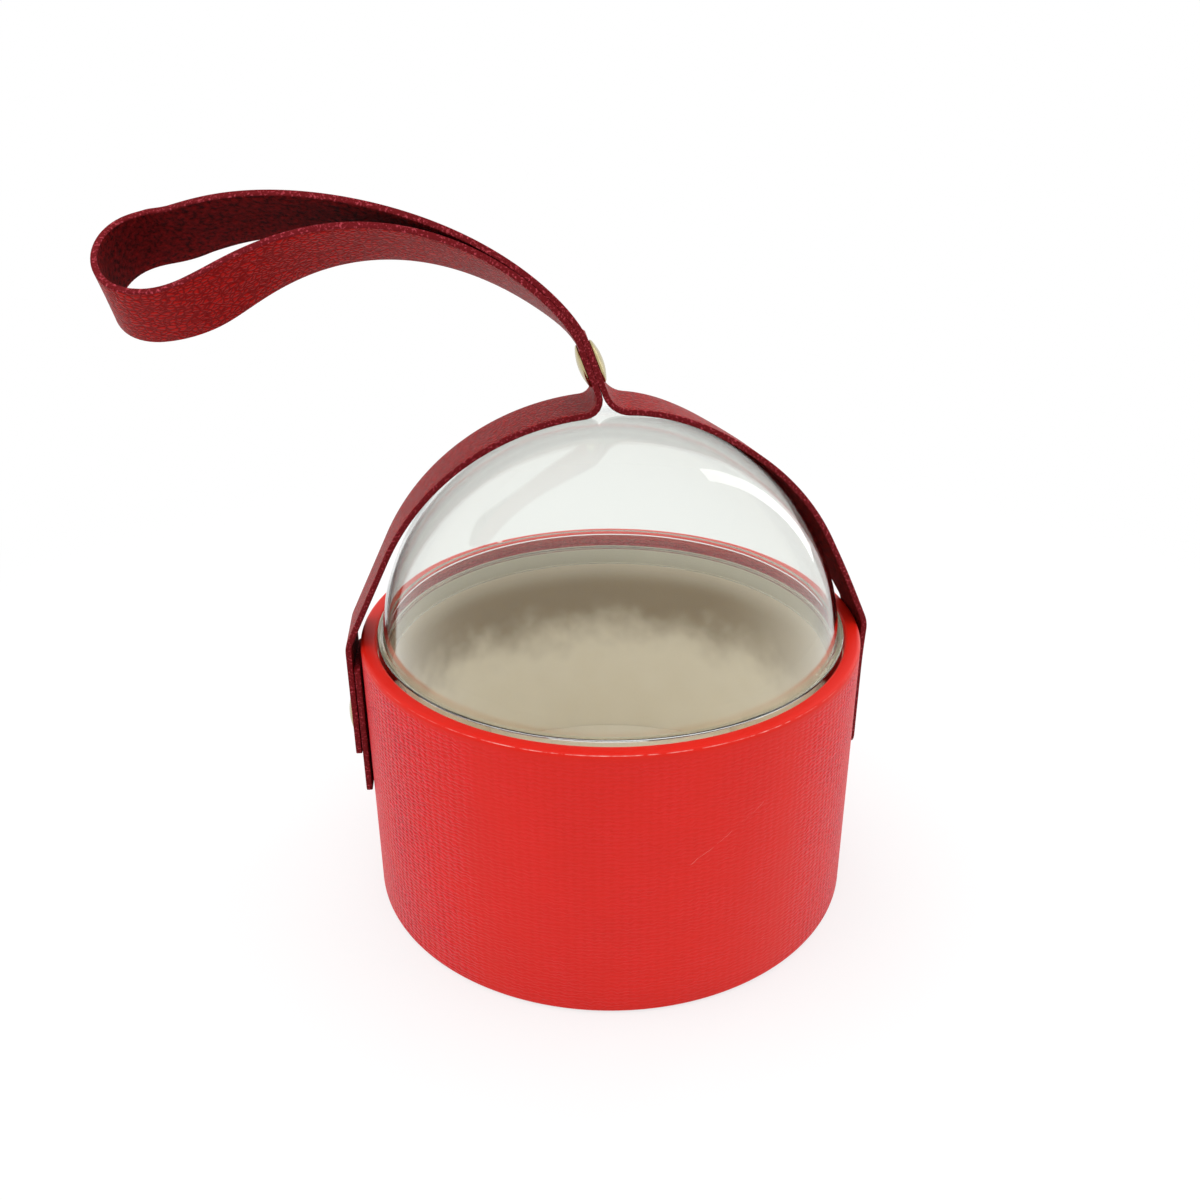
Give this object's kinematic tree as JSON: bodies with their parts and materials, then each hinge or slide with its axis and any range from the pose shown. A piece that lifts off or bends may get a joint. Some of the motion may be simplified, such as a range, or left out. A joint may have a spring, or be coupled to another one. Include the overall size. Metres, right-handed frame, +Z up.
{
  "type": "dome-lidded round gift box",
  "caption": "Round paper-covered card box with a clear dome lid held down by a leather strap that is riveted into a carrying loop and fastens with a press stud.",
  "frame": {"origin": "centre of the box's flat underside", "axes": "+Z up along the drum's axis, +X towards the strap's riveted end, strap in the XZ plane"},
  "size_m": [0.1552, 0.11, 0.156],
  "materials": {
    "red_paper": "satin, fine linen emboss",
    "greyboard": "matte, raw board",
    "cream_card": "matte, uncoated card",
    "clear_plastic": "clear, polished",
    "red_leather": "satin pebble grain, suede back",
    "brass": "polished, pale"
  },
  "bodies": {
    "drum": {"outer_tube": "greyboard", "outer_wrap": "red_paper", "base_disc": "greyboard", "base_cover": "red_paper", "liner_tube": "cream_card", "liner_floor": "cream_card", "anchor_tab": "red_leather", "strap_fixed_end": "red_leather", "end_rivet_cap": "brass", "end_rivet_post": "brass", "end_rivet_washer": "brass", "snap_post": "brass", "snap_stud": "brass"},
    "lid": {"dome_lid": "clear_plastic"},
    "strap": {"strap_right_arch": "red_leather", "strap_left_arch": "red_leather", "pinch_rivet_left_cap": "brass", "pinch_rivet_right_cap": "brass", "pinch_rivet_post": "brass"},
    "strap_end": {"strap_free_end": "red_leather", "snap_socket": "brass", "snap_cap": "brass"},
    "handle": {"handle_loop": "red_leather"}
  },
  "joints": [
    {"name": "strap_swing", "type": "hinge", "parent": "drum", "child": "strap", "pos_m": [0.05635, 0, 0.0605], "axis": [0, 1, 0], "range_deg": [0, 110]},
    {"name": "lid_lift", "type": "slide", "parent": "drum", "child": "lid", "axis": [0, 0, 1], "range_m": [0, 0.066]},
    {"name": "strap_end_peel", "type": "hinge", "parent": "strap", "child": "strap_end", "pos_m": [-0.0578, 0, 0.0605], "axis": [0, 1, 0], "range_deg": [0, 50]},
    {"name": "handle_flop", "type": "hinge", "parent": "strap", "child": "handle", "pos_m": [-0.00443, 0, 0.12557], "axis": [0, 1, 0], "range_deg": [0, 90]}
  ],
  "couplings": [
    {"joint": "lid_lift", "follows": "strap_swing", "m_per_rad": 0.034}
  ]
}
